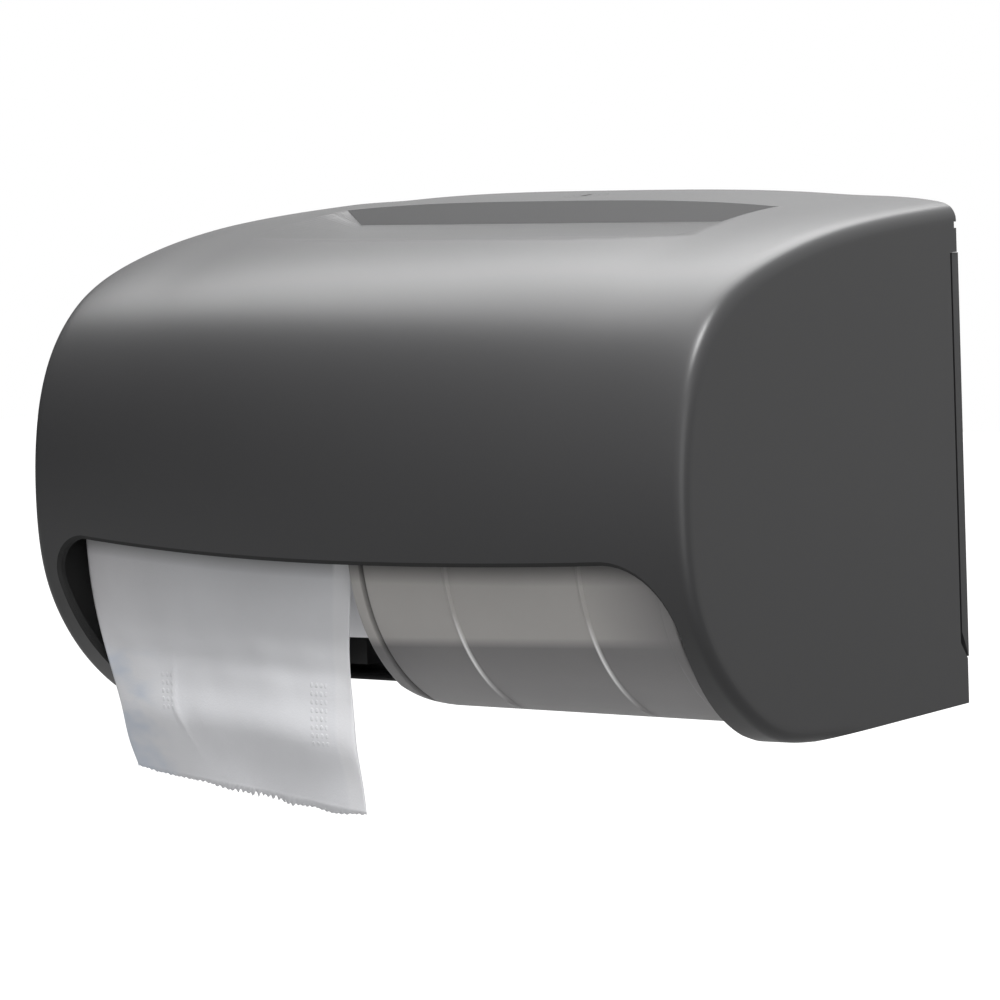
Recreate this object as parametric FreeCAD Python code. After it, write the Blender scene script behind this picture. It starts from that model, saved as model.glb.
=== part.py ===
import FreeCAD, Part

import math
import os

# Twin toilet roll dispenser, wall mounted. Millimetres, +Z up.
# The wall is the plane y = 0 and the front faces -Y. Depth is counted forward from the wall.
# Heights are counted from the cover's lower rear corner, and every piece is lowered at the end
# so that the origin is the centre of the four wall screws.

# Rolls and their place
roll_radius = 60.0
roll_width = 114.0
roll_half_gap = 7.0
roll_edge_bevel = 1.5
rear_space = 19.0
bottom_space = 22.0
loose_gap = 0.3
overrun = 20.0

axis_depth = rear_space + roll_radius
axis_height = bottom_space + roll_radius

# Cover
wall = 2.8
side_space = 11.2
front_space = 11.2
top_space = 17.0
crown_height = 7.6
bow_depth = 7.5
wall_gap = 1.2
edge_bevel = 1.6
half_width = roll_half_gap + roll_width + side_space + wall
cover_depth = axis_depth + roll_radius + front_space
cover_height = axis_height + roll_radius + top_space

# Shares of the cover's depth and height, from the rear top over the front to the underside
outline_shares = (
    (0.20, 0.9905),
    (0.39, 0.9740),
    (0.66, 0.9225),
    (0.835, 0.8500),
    (0.943, 0.7320),
    (0.990, 0.5900),
    (1.000, 0.4450),
    (0.975, 0.2780),
    (0.900, 0.1500),
    (0.800, 0.0580),
    (0.680, -0.0030),
    (0.560, -0.0190),
)
section_shares = (-1, -0.5, 0, 0.5, 1)
crown_power = 3
bow_power = 2

# Window in the lower front, a little narrower towards the bottom
window_half_width = 126.0
window_taper = 3.5
window_top = 57.3
window_droop = 2.4
window_corner = 22.0

# Shallow recess in the top
recess_back = 40.0
recess_front = 94.0
recess_back_half = 93.0
recess_front_half = 87.0
recess_ramp = 36.0
recess_depth = 6.6
recess_lip = 1.8
ramp_rise = 4.4

# Reveal in the rear edge of each side, which the back plate's ear fills
reveal_bottom = 19.8
reveal_top = 145.7
reveal_depth = 3.8
reveal_slant = 5.3
nick_height = 154.8
nick_size = 3.0
nick_depth = 1.6

# Back plate
plate_thick = 2.5
plate_gap = 1.7
plate_drop = 2.0
plate_headroom = 6.6
flange_depth = 10.0
flange_thick = 2.2
plate_corner = 6.0
ear_gap = 0.6
ear_sink = 0.4
pad_depth = 5.5
rib_thick = 1.6
rib_depth = 4.0
plate_half_width = half_width - wall - plate_gap
plate_top = cover_height - wall - plate_headroom
pad_face = plate_thick + pad_depth

# Wall screws
wall_hole_radius = 2.6
wall_hole_span = 160.0
wall_hole_rise = 90.0
wall_hole_ring = 7.0
wall_ring_depth = 2.0
mount_height = 78.0

# Spindles, cores and the slots that carry them
journal_radius = 4.0
journal_gap = 0.3
journal_tip = 0.5
end_play = 0.5
core_radius = 21.0
core_wall = 0.9
fin_thick = 2.2
fin_count = 4
hub_radius = 6.0
end_disc = 2.0

# Brackets
bracket_thick = 2.5
bracket_base = 2.5
bracket_boss = 11.0
bracket_arm = 7.0
centre_plate = 2.0
centre_slot_gap = 2.5
slot_lean = 60.0
side_base_width = 15.0
side_base_top = 118.0
side_base_bottom = 3.0
centre_base_half = 14.0
centre_base_bottom = 58.0
centre_base_top = 112.0

# Hinge of the cover
hinge_depth = 45.0
hinge_height = 6.0
hinge_pin_radius = 3.0
hinge_fit = 0.08
hinge_boss = 6.0
hinge_boss_length = 3.0
hinge_head_radius = 5.0
hinge_head = 1.6
hinge_web = 1.4
hinge_arm = 5.0
hinge_eye = 6.0

# Screws
screw_radius = 1.9
screw_fit = 0.06
screw_hole_gap = 0.3
screw_head_radius = 3.6
screw_head = 2.2
screw_slot = 1.1
screw_length = 8.0

# Shutter and its rail
shutter_left = -3.5
shutter_width = 125.0
shutter_thick = 1.6
shutter_radius = 61.0
shutter_sweep = 68.0
shutter_inset = 6.0
shutter_lift = 0.7
shutter_top = 71.5
shutter_rim = 4.4
shutter_rib = 2.2
shutter_raise = 0.9
shutter_rib_shares = (0.312, 0.738)
hook_length = 1.4
hook_thick = 1.5
rail_wall = 1.2
rail_gap = 0.4
rail_lip = 1.2
rail_tab_height = 11.0
rail_tab_width = 14.0
rail_tab_shares = (-0.7, 0, 0.7)
rail_boss = 4.2

# Lock and keeper
lock_depth = 20.0
lock_head_radius = 7.5
lock_head = 2.0
lock_sink = 0.4
lock_radius = 6.0
lock_fit = 0.1
lock_length = 12.8
lock_pad_radius = 11.5
lock_pad_depth = 5.8
nut_flats = 17.0
nut_thick = 2.5
plug_radius = 4.4
plug_gap = 0.1
key_slot_width = 1.6
key_slot_length = 5.6
key_slot_depth = 3.0
cam_reach = 15.0
cam_half_width = 4.0
cam_thick = 1.8
cam_gap = 0.2
square_half = 2.2
cam_screw_radius = 1.3
cam_screw_head_radius = 3.2
cam_screw_head = 1.3
keeper_thick = 1.8
keeper_gap = 1.0
keeper_side_gap = 5.0
keeper_width = 9.0
keeper_drop = 24.0

# Hanging tissue
tail_thick = 0.6
tail_side = 4.0
tail_left_drop = 16.0
tail_right_drop = 27.0
tail_swing = 15.0
tail_wave = 1.6
tail_wave_shares = (0, 0.6, -0.5, 0.4, 0.9, 0)
tail_level_shares = (0, 0.35, 0.7, 1)


def at(x, depth, height):
    return FreeCAD.Vector(x, -depth, height)


def block(x0, x1, depth0, depth1, height0, height1):
    return Part.makeBox(x1 - x0, depth1 - depth0, height1 - height0, at(x0, depth1, height0))


def rod_x(radius, x0, x1, depth, height):
    return Part.makeCylinder(radius, x1 - x0, at(x0, depth, height), FreeCAD.Vector(1, 0, 0))


def rod_y(radius, depth0, depth1, x, height):
    return Part.makeCylinder(radius, depth1 - depth0, at(x, depth1, height), FreeCAD.Vector(0, 1, 0))


def rod_z(radius, height0, height1, x, depth):
    return Part.makeCylinder(radius, height1 - height0, at(x, depth, height0))


def plate_x(outline, x0, x1):
    points = [at(x0, depth, height) for depth, height in outline]
    face = Part.Face(Part.makePolygon(points + points[:1]))
    return face.extrude(FreeCAD.Vector(x1 - x0, 0, 0))


def link_x(start, start_radius, end, end_radius, x0, x1):
    """A flat arm along X's normal plane: two round ends joined by their common tangents."""
    run, rise = end[0] - start[0], end[1] - start[1]
    length = math.hypot(run, rise)
    heading = math.atan2(rise, run)
    spread = math.acos((start_radius - end_radius) / length)
    corners = []
    for centre, radius, turn in (
        (start, start_radius, spread),
        (end, end_radius, spread),
        (end, end_radius, -spread),
        (start, start_radius, -spread),
    ):
        angle = heading + turn
        corners.append((centre[0] + radius * math.cos(angle), centre[1] + radius * math.sin(angle)))
    arm = plate_x(corners, x0, x1)
    arm = arm.fuse(rod_x(start_radius, x0, x1, *start))
    return arm.fuse(rod_x(end_radius, x0, x1, *end))


def mirrored(shape):
    return shape.mirror(FreeCAD.Vector(0, 0, 0), FreeCAD.Vector(1, 0, 0))


def screw_y(x, seat_depth, height, length):
    """A slotted screw that points at the wall, its head on seat_depth."""
    head = rod_y(screw_head_radius, seat_depth, seat_depth + screw_head, x, height)
    slot = block(x - screw_head_radius, x + screw_head_radius, seat_depth + screw_head / 2,
                 seat_depth + screw_head + overrun, height - screw_slot / 2, height + screw_slot / 2)
    shank = rod_y(screw_radius, seat_depth - length, seat_depth, x, height)
    return head.cut(slot).fuse(shank)


def save(name, shapes):
    shape = shapes if isinstance(shapes, Part.Shape) else Part.makeCompound(shapes)
    solids = [solid.removeSplitter() for solid in shape.Solids]
    placed = solids[0] if len(solids) == 1 else Part.makeCompound(solids)
    placed = placed.translated(FreeCAD.Vector(0, 0, -mount_height))
    placed.exportStep("parts/" + name + ".step")


# Cover outline: one smooth curve, repeated across the width with the crown and the bow added
def outline_points():
    points = [(wall_gap, cover_height)]
    points += [(share[0] * cover_depth, share[1] * cover_height) for share in outline_shares]
    return points


def inset_points(points, distance):
    inner = []
    for index, point in enumerate(points):
        before = points[max(index - 1, 0)]
        after = points[min(index + 1, len(points) - 1)]
        run, rise = after[0] - before[0], after[1] - before[1]
        length = math.hypot(run, rise)
        inner.append((point[0] + distance * rise / length, point[1] - distance * run / length))
    return inner


def swell(x, point):
    """The outline's point at this distance from the middle, with the bow and the crown added."""
    reach = min(abs(x) / half_width, 1)
    bow = bow_depth * (1 - reach ** bow_power)
    crown = crown_height * (1 - reach ** crown_power)
    return at(x, point[0] * (1 + bow / cover_depth), point[1] * (1 + crown / cover_height))


def cover_section(x, points, corners):
    curve = Part.BSplineCurve()
    curve.interpolate([swell(x, point) for point in points])
    corner_points = [at(x, depth, height) for depth, height in corners]
    corner_points = [curve.EndPoint] + corner_points + [curve.StartPoint]
    edges = [curve.toShape()]
    edges += [Part.makeLine(a, b) for a, b in zip(corner_points, corner_points[1:])]
    return Part.Wire(edges)


def cover_form(span, points, corners):
    sections = [cover_section(span * share, points, corners) for share in section_shares]
    return Part.makeLoft(sections, True, False)


outer_points = outline_points()
outer_form = cover_form(half_width, outer_points, [(wall_gap, 0)])


def cover_top(x, depth):
    """Height of the cover's outer face above a place in plan."""
    line = Part.makeLine(at(x, depth, cover_height / 2), at(x, depth, cover_height * 2))
    return outer_form.common(line).BoundBox.ZMax


def cover_front(x, height):
    """Depth of the cover's outer face in front of a place in elevation."""
    line = Part.makeLine(at(x, cover_depth / 2, height), at(x, cover_depth * 2, height))
    return -outer_form.common(line).BoundBox.YMin


def recess_form(grow):
    """The recess as a solid that reaches above the top, or its pan when grown by the wall."""
    sections = []
    for depth, half, sink in (
        (recess_back - grow, recess_back_half, recess_depth),
        (recess_front + grow, recess_front_half, recess_lip),
    ):
        place = recess_back if half == recess_back_half else recess_front
        floor = cover_top(0, place) - sink - grow
        flat = half - recess_ramp + grow
        rise = ramp_rise * overrun / recess_ramp
        high = floor + ramp_rise + rise
        wide = half + grow + overrun
        points = [at(-flat, depth, floor), at(flat, depth, floor), at(wide, depth, high),
                  at(-wide, depth, high)]
        sections.append(Part.makePolygon(points + points[:1]))
    return Part.makeLoft(sections, True, True)


def window_form():
    low = -overrun
    shoulder = window_top - window_corner
    inner = window_half_width - window_corner
    foot = window_half_width - window_taper * (1 + overrun / shoulder)
    slant = window_corner * (1 - math.sqrt(0.5))

    def spot(x, height):
        return at(x, hinge_depth, height)

    edges = []
    edges.append(Part.makeLine(spot(-foot, low), spot(-window_half_width, shoulder)))
    edges.append(Part.Arc(spot(-window_half_width, shoulder),
                          spot(-window_half_width + slant, window_top - slant),
                          spot(-inner, window_top)).toShape())
    edges.append(Part.Arc(spot(-inner, window_top), spot(0, window_top - window_droop),
                          spot(inner, window_top)).toShape())
    edges.append(Part.Arc(spot(inner, window_top),
                          spot(window_half_width - slant, window_top - slant),
                          spot(window_half_width, shoulder)).toShape())
    edges.append(Part.makeLine(spot(window_half_width, shoulder), spot(foot, low)))
    edges.append(Part.makeLine(spot(foot, low), spot(-foot, low)))
    return Part.Face(Part.Wire(edges)).extrude(FreeCAD.Vector(0, -cover_depth, 0))


# Lock heights follow the cover's top
lock_face = cover_top(0, lock_depth) - lock_sink
lock_seat = lock_face - lock_head
lock_pad_bottom = lock_face - lock_pad_depth
lock_end = lock_face - lock_length
cam_top = lock_end - cam_gap
cam_bottom = cam_top - cam_thick

# Rail depths follow the shutter
shutter_front = cover_depth - shutter_inset
shutter_back = shutter_front - shutter_thick
rail_back = shutter_back - rail_gap - rail_wall
rail_front = shutter_front + hook_length + rail_gap
rail_face = rail_front + rail_wall
rail_roof = shutter_top + rail_gap
rail_drop = rail_gap + hook_thick + loose_gap + rail_wall
rail_half = roll_half_gap + roll_width + 2 * rail_wall
rail_screw_height = rail_roof + rail_wall + rail_tab_height / 2
rail_places = [share * rail_half for share in rail_tab_shares]


def make_cover():
    inner_points = inset_points(outer_points, wall)
    inner_points[0] = (-overrun, inner_points[0][1] + overrun * (1 - outline_shares[0][1]))
    end_depth = inner_points[-1][0]
    inner_corners = [(end_depth, -overrun), (-overrun, -overrun)]
    inner_form = cover_form(half_width - wall, inner_points, inner_corners)
    rims = [edge for edge in outer_form.Edges
            if abs(abs(edge.BoundBox.XMin) - half_width) < loose_gap and edge.Length > cover_depth * 2
            and abs(edge.BoundBox.XMax - edge.BoundBox.XMin) < loose_gap]
    shell = outer_form.makeChamfer(edge_bevel, rims).cut(inner_form)
    pan = recess_form(wall).common(outer_form)
    shell = shell.fuse(pan).cut(recess_form(0)).cut(window_form())

    reveal = [(-overrun, reveal_bottom - reveal_slant), (wall_gap, reveal_bottom - reveal_slant),
              (wall_gap + reveal_depth, reveal_bottom), (wall_gap + reveal_depth, reveal_top),
              (-overrun, reveal_top)]
    shell = shell.cut(plate_x(reveal, -half_width - overrun, half_width + overrun))
    nick = block(-half_width - overrun, half_width + overrun, -overrun, wall_gap + nick_depth,
                 nick_height - nick_size / 2, nick_height + nick_size / 2)
    shell = shell.cut(nick)

    boss_face = half_width - wall - hinge_boss_length
    boss = rod_x(hinge_boss, boss_face, half_width - wall, hinge_depth, hinge_height)
    bore = rod_x(hinge_pin_radius + hinge_fit, boss_face - overrun, half_width - hinge_web,
                 hinge_depth, hinge_height)
    shell = shell.fuse([boss, mirrored(boss)]).cut(bore).cut(mirrored(bore))

    pad = rod_z(lock_pad_radius, lock_pad_bottom, lock_face, 0, lock_depth).common(outer_form)
    shell = shell.fuse(pad)
    shell = shell.cut(rod_z(lock_head_radius + lock_fit, lock_seat, lock_face + overrun, 0, lock_depth))
    shell = shell.cut(rod_z(lock_radius + lock_fit, lock_end, lock_seat, 0, lock_depth))

    for x in rail_places:
        boss = rod_y(rail_boss, rail_face, cover_front(x, rail_screw_height) - wall / 2, x,
                     rail_screw_height)
        pilot = rod_y(screw_radius + screw_fit, rail_face - overrun,
                      cover_front(x, rail_screw_height) - wall, x, rail_screw_height)
        shell = shell.fuse(boss).cut(pilot)
    save("cover", shell)


# Back plate: a shallow tray with pads for the brackets and an ear in each of the cover's reveals
def plate_ear():
    bottom = reveal_bottom - reveal_slant + ear_gap
    ear = block(plate_half_width - flange_thick / 2, half_width - ear_sink, 0,
                wall_gap + reveal_depth - ear_gap, bottom, reveal_top - ear_gap)
    reach = max(hinge_height, reveal_bottom - reveal_slant - hinge_height)
    sweep = math.hypot(hinge_depth - wall_gap, reach) + ear_gap / 2
    return ear.cut(rod_x(sweep, 0, half_width + overrun, hinge_depth, hinge_height))


def make_back_plate():
    height0, height1 = -plate_drop, plate_top
    tray = block(-plate_half_width, plate_half_width, 0, flange_depth + plate_thick, height0, height1)
    corners = [edge for edge in tray.Edges
               if abs(edge.BoundBox.YMax - edge.BoundBox.YMin) > flange_depth]
    tray = tray.makeFillet(plate_corner, corners)
    inside = plate_half_width - flange_thick
    hollow = block(-inside, inside, plate_thick, flange_depth + plate_thick + overrun,
                   height0 + flange_thick, height1 - flange_thick)
    corners = [edge for edge in hollow.Edges
               if abs(edge.BoundBox.YMax - edge.BoundBox.YMin) > flange_depth]
    hollow = hollow.makeFillet(plate_corner - flange_thick, corners)
    plate = tray.cut(hollow)
    gap_half = lock_pad_radius + keeper_side_gap + keeper_width
    plate = plate.cut(block(-gap_half, gap_half, plate_thick, flange_depth + overrun,
                            height1 - flange_thick - loose_gap, height1 + overrun))

    rib_heights = [height0 + (height1 - height0) * share for share in rib_height_shares]
    for height in rib_heights:
        plate = plate.fuse(block(-inside, inside, plate_thick / 2, plate_thick + rib_depth,
                                 height - rib_thick / 2, height + rib_thick / 2))
    for share in rib_place_shares:
        x = share * inside
        plate = plate.fuse(block(x - rib_thick / 2, x + rib_thick / 2, plate_thick / 2,
                                 plate_thick + rib_depth, height0, keeper_base_bottom - keeper_gap))

    pads = [block(-centre_base_half, centre_base_half, plate_thick / 2, pad_face,
                  centre_base_bottom, centre_base_top)]
    side_pad = block(side_plate_outer - side_base_width, side_plate_outer, plate_thick / 2, pad_face,
                     side_base_bottom, side_base_top)
    pads += [side_pad, mirrored(side_pad)]
    pads.append(block(keeper_left - keeper_gap, keeper_left + keeper_width + keeper_gap,
                      plate_thick / 2, pad_face, keeper_base_bottom, keeper_base_top))
    plate = plate.fuse(pads)
    plate = plate.fuse([plate_ear(), mirrored(plate_ear())])
    for x in (-wall_hole_span / 2, wall_hole_span / 2):
        for height in (mount_height - wall_hole_rise / 2, mount_height + wall_hole_rise / 2):
            plate = plate.fuse(rod_y(wall_hole_ring, plate_thick / 2, plate_thick + wall_ring_depth, x,
                                     height))
            plate = plate.cut(rod_y(wall_hole_radius, -overrun, plate_thick + rib_depth + overrun, x,
                                    height))
    for x, height in screw_places:
        plate = plate.cut(rod_y(screw_radius + screw_fit, plate_thick / 2, pad_face + overrun, x, height))
    save("back_plate", plate)


# Brackets stand on the back plate's pads and hold the spindle ends in leaning slots
rib_height_shares = (0.16, 0.86)
rib_place_shares = (-0.36, 0.36)
side_plate_outer = half_width - wall - hinge_boss_length - 2 * hinge_head
side_plate_inner = side_plate_outer - bracket_thick
keeper_left = lock_pad_radius
keeper_arm_top = cam_bottom - keeper_gap
keeper_base_top = keeper_arm_top
keeper_base_bottom = keeper_arm_top - keeper_drop
centre_screw_places = [
    (x, height)
    for x in (-centre_base_half + screw_head_radius, centre_base_half - screw_head_radius)
    for height in (centre_base_bottom + 2 * screw_head_radius, centre_base_top - 2 * screw_head_radius)
]
side_screw_places = [
    (side * (side_plate_outer - side_base_width + 1.5 * screw_head_radius), height)
    for side in (-1, 1)
    for height in (side_base_bottom + 6 * screw_head_radius, side_base_top - 3 * screw_head_radius)
]
keeper_screw_places = [
    (keeper_left + keeper_width / 2, keeper_base_bottom + share * keeper_drop)
    for share in (0.25, 0.65)
]
screw_places = centre_screw_places + side_screw_places + keeper_screw_places
bracket_face = pad_face + bracket_base


def spindle_slot(x0, x1):
    """The open slot: a round seat at the axis with a leaning mouth."""
    radius = journal_radius + journal_gap
    lean = math.radians(slot_lean)
    reach = bracket_boss * 2
    mouth = (axis_depth + reach * math.cos(lean), axis_height + reach * math.sin(lean))
    return link_x((axis_depth, axis_height), radius, mouth, radius, x0, x1)


def screw_holes(places, depth0, depth1):
    return [rod_y(screw_radius + screw_hole_gap, depth0, depth1, x, height) for x, height in places]


def make_side_bracket(side):
    x0, x1 = side_plate_inner, side_plate_outer
    base = block(x1 - side_base_width, x1, pad_face, bracket_face, side_base_bottom, side_base_top)
    foot = pad_face + bracket_arm
    spindle = (axis_depth, axis_height)
    hinge = (hinge_depth, hinge_height)
    bracket = base.fuse([
        link_x((foot, side_base_top - bracket_arm), bracket_arm, spindle, bracket_boss, x0, x1),
        link_x((pad_face + hinge_arm, hinge_height), hinge_arm, hinge, hinge_eye, x0, x1),
        link_x(hinge, hinge_arm, spindle, bracket_arm, x0, x1),
    ])
    bracket = bracket.cut(block(x0 - overrun, x1 + overrun, 0, pad_face, -overrun, cover_height))
    bracket = bracket.cut(spindle_slot(x0 - overrun, x1 + overrun))
    bracket = bracket.cut(rod_x(hinge_pin_radius + screw_fit, x0 - overrun, x1 + overrun, *hinge))
    places = [(abs(x), height) for x, height in side_screw_places if x > 0]
    bracket = bracket.cut(screw_holes(places, pad_face - overrun, bracket_face + overrun))
    return bracket if side > 0 else mirrored(bracket)


def make_centre_bracket():
    base = block(-centre_base_half, centre_base_half, pad_face, bracket_face, centre_base_bottom,
                 centre_base_top)
    foot = pad_face + bracket_arm
    spindle = (axis_depth, axis_height)
    bracket = base
    for x0 in (-centre_slot_gap - centre_plate, centre_slot_gap):
        x1 = x0 + centre_plate
        bracket = bracket.fuse([
            link_x((foot, centre_base_top - bracket_arm), bracket_arm, spindle, bracket_boss, x0, x1),
            link_x((foot, centre_base_bottom + bracket_arm), bracket_arm, spindle, bracket_boss, x0, x1),
        ])
    outer = centre_slot_gap + centre_plate
    bracket = bracket.cut(block(-outer, outer, 0, pad_face, 0, cover_height))
    bracket = bracket.cut(spindle_slot(-outer - overrun, outer + overrun))
    bracket = bracket.cut(screw_holes(centre_screw_places, pad_face - overrun, bracket_face + overrun))
    save("centre_bracket", bracket)


def make_bracket_screws():
    places = centre_screw_places + side_screw_places
    save("bracket_screws", [screw_y(x, bracket_face, height, screw_length) for x, height in places])


def make_hinge_pins():
    x0 = side_plate_inner - hinge_head
    pin = rod_x(hinge_pin_radius, side_plate_inner, half_width - hinge_web - loose_gap, hinge_depth,
                hinge_height)
    head = rod_x(hinge_head_radius, x0, side_plate_inner, hinge_depth, hinge_height)
    pin = pin.fuse(head)
    save("hinge_pins", [pin, mirrored(pin)])


# Keeper: an arm under the cam with an upturned lip in front of it
def make_keeper():
    x0, x1 = keeper_left, keeper_left + keeper_width
    lip_back = lock_depth + cam_half_width + keeper_gap
    lip_front = lip_back + keeper_thick
    base = block(x0, x1, pad_face, pad_face + keeper_thick, keeper_base_bottom, keeper_arm_top)
    arm = block(x0, x1, pad_face, lip_front, keeper_arm_top - keeper_thick, keeper_arm_top)
    lip = block(x0, x1, lip_back, lip_front, keeper_arm_top - keeper_thick, cam_top + keeper_gap)
    keeper = base.fuse([arm, lip])
    keeper = keeper.cut(screw_holes(keeper_screw_places, pad_face - overrun, pad_face + overrun))
    save("keeper", keeper)
    screws = [screw_y(x, pad_face + keeper_thick, height, screw_length - loose_gap)
              for x, height in keeper_screw_places]
    save("keeper_screws", screws)


# Lock: barrel and nut in the cover's top, plug and cam that turn together
def square_rod(half, height0, height1):
    return block(-half, half, lock_depth - half, lock_depth + half, height0, height1)


def make_lock():
    bore = rod_z(plug_radius + plug_gap, lock_end - overrun, lock_face + overrun, 0, lock_depth)
    head = rod_z(lock_head_radius, lock_seat, lock_face, 0, lock_depth)
    barrel = head.fuse(rod_z(lock_radius, lock_end, lock_seat, 0, lock_depth)).cut(bore)
    save("lock_barrel", barrel)

    corner = nut_flats / math.sqrt(3)
    points = []
    for step in range(6):
        angle = math.radians(60 * step)
        points.append(at(corner * math.cos(angle), lock_depth + corner * math.sin(angle),
                         lock_pad_bottom - nut_thick))
    nut = Part.Face(Part.makePolygon(points + points[:1])).extrude(FreeCAD.Vector(0, 0, nut_thick))
    nut_bore = rod_z(lock_radius + screw_fit, lock_end - overrun, lock_face, 0, lock_depth)
    save("lock_nut", nut.cut(nut_bore))

    plug = rod_z(plug_radius, lock_end, lock_face, 0, lock_depth)
    plug = plug.fuse(square_rod(square_half, cam_bottom, lock_end))
    slot = block(-key_slot_width / 2, key_slot_width / 2, lock_depth - key_slot_length / 2,
                 lock_depth + key_slot_length / 2, lock_face - key_slot_depth, lock_face + overrun)
    pilot = rod_z(cam_screw_radius + screw_fit, cam_bottom - overrun, lock_end + lock_length / 3, 0,
                  lock_depth)
    save("lock_plug", plug.cut(slot).cut(pilot))

    cam = rod_z(cam_half_width, cam_bottom, cam_top, 0, lock_depth)
    cam = cam.fuse(block(-cam_half_width, cam_half_width, lock_depth - cam_reach + cam_half_width,
                         lock_depth, cam_bottom, cam_top))
    cam = cam.fuse(rod_z(cam_half_width, cam_bottom, cam_top, 0, lock_depth - cam_reach + cam_half_width))
    save("lock_cam", cam.cut(square_rod(square_half + screw_fit, cam_bottom - overrun, cam_top + overrun)))

    screw = rod_z(cam_screw_head_radius, cam_bottom - cam_screw_head, cam_bottom, 0, lock_depth)
    screw = screw.fuse(rod_z(cam_screw_radius, cam_bottom, lock_end + lock_length / 4, 0, lock_depth))
    save("cam_screw", screw)


# Shutter: a curved panel with a rim at each end and two ribs, hung by a hook along its top
def shutter_band(x0, x1, raised):
    depth0 = shutter_front - shutter_radius
    height0 = shutter_radius + shutter_lift

    def spot(radius, share):
        angle = math.radians(shutter_sweep * share)
        return at(x0, depth0 + radius * math.cos(angle), height0 - radius * math.sin(angle))

    outside = shutter_radius + raised
    inside = shutter_radius - shutter_thick
    top_outside = at(x0, depth0 + outside, shutter_top)
    top_inside = at(x0, depth0 + inside, shutter_top)
    edges = [
        Part.makeLine(top_inside, top_outside),
        Part.makeLine(top_outside, spot(outside, 0)),
        Part.Arc(spot(outside, 0), spot(outside, 0.5), spot(outside, 1)).toShape(),
        Part.makeLine(spot(outside, 1), spot(inside, 1)),
        Part.Arc(spot(inside, 1), spot(inside, 0.5), spot(inside, 0)).toShape(),
        Part.makeLine(spot(inside, 0), top_inside),
    ]
    return Part.Face(Part.Wire(edges)).extrude(FreeCAD.Vector(x1 - x0, 0, 0))


def make_shutter():
    x0, x1 = shutter_left, shutter_left + shutter_width
    shutter = shutter_band(x0, x1, 0)
    bands = [(x0, x0 + shutter_rim), (x1 - shutter_rim, x1)]
    for share in shutter_rib_shares:
        middle = x0 + share * shutter_width
        bands.append((middle - shutter_rib / 2, middle + shutter_rib / 2))
    raised_top = rail_roof - rail_drop - shutter_rib
    for band0, band1 in bands:
        band = shutter_band(band0, band1, shutter_raise)
        band = band.cut(block(band0, band1, 0, cover_depth + overrun, raised_top, cover_height))
        shutter = shutter.fuse(band)
    hook = block(x0, x1, shutter_front - shutter_thick / 2, shutter_front + hook_length,
                 shutter_top - hook_thick, shutter_top)
    save("shutter", shutter.fuse(hook))


def make_shutter_rail():
    lip_top = rail_roof + rail_wall - rail_drop
    roof = block(-rail_half, rail_half, rail_back, rail_face, rail_roof, rail_roof + rail_wall)
    back = block(-rail_half, rail_half, rail_back, rail_back + rail_wall, lip_top - rail_wall, rail_roof)
    front = block(-rail_half, rail_half, rail_front, rail_face, lip_top - rail_wall, rail_roof)
    lip = block(-rail_half, rail_half, rail_front - rail_lip, rail_face, lip_top - rail_wall, lip_top)
    rail = roof.fuse([back, front, lip])
    for x in rail_places:
        tab = block(x - rail_tab_width / 2, x + rail_tab_width / 2, rail_front, rail_face, rail_roof,
                    rail_roof + rail_wall + rail_tab_height)
        rail = rail.fuse(tab)
    places = [(x, rail_screw_height) for x in rail_places]
    rail = rail.cut(screw_holes(places, rail_front - overrun, rail_face + overrun))
    save("shutter_rail", rail)


# These screws point away from the wall, so each is turned about a vertical line through its seat
def make_rail_screws():
    screws = []
    for x in rail_places:
        reach = cover_front(x, rail_screw_height) - wall - loose_gap - rail_front
        screw = screw_y(x, rail_front, rail_screw_height, reach)
        screw.rotate(at(x, rail_front, rail_screw_height), FreeCAD.Vector(0, 0, 1), 180)
        screws.append(screw)
    save("rail_screws", screws)


# Rolls: ribbed spindle, cardboard core and wound tissue, one set for each side
def make_roll(name, side):
    near, far = roll_half_gap, roll_half_gap + roll_width
    inner_end = centre_slot_gap + centre_plate + end_play
    outer_end = side_plate_inner - end_play
    fin_radius = core_radius - core_wall - loose_gap
    spindle = rod_x(hub_radius, inner_end, outer_end, axis_depth, axis_height)
    for step in range(fin_count // 2):
        fin = block(inner_end, outer_end, axis_depth - fin_thick / 2, axis_depth + fin_thick / 2,
                    axis_height - fin_radius, axis_height + fin_radius)
        fin.rotate(at(0, axis_depth, axis_height), FreeCAD.Vector(1, 0, 0), step * 360 / fin_count)
        spindle = spindle.fuse(fin)
    tube = rod_x(fin_radius, inner_end, outer_end, axis_depth, axis_height)
    spindle = spindle.common(tube)
    for x0 in (inner_end, outer_end - end_disc):
        spindle = spindle.fuse(rod_x(fin_radius, x0, x0 + end_disc, axis_depth, axis_height))
    journal0 = centre_slot_gap / 2
    journal1 = side_plate_outer + journal_tip
    spindle = spindle.fuse(rod_x(journal_radius, journal0, journal1, axis_depth, axis_height))

    core = rod_x(core_radius, near, far, axis_depth, axis_height)
    core = core.cut(rod_x(core_radius - core_wall, near, far, axis_depth, axis_height))

    tissue = rod_x(roll_radius, near, far, axis_depth, axis_height)
    rims = [edge for edge in tissue.Edges if abs(edge.BoundBox.XMax - edge.BoundBox.XMin) < loose_gap]
    tissue = tissue.makeChamfer(roll_edge_bevel, rims)
    tissue = tissue.cut(rod_x(core_radius + loose_gap, near, far, axis_depth, axis_height))

    for piece, shape in (("spindle", spindle), ("core", core), ("tissue_roll", tissue)):
        save(name + "_" + piece, shape if side > 0 else mirrored(shape))


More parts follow.
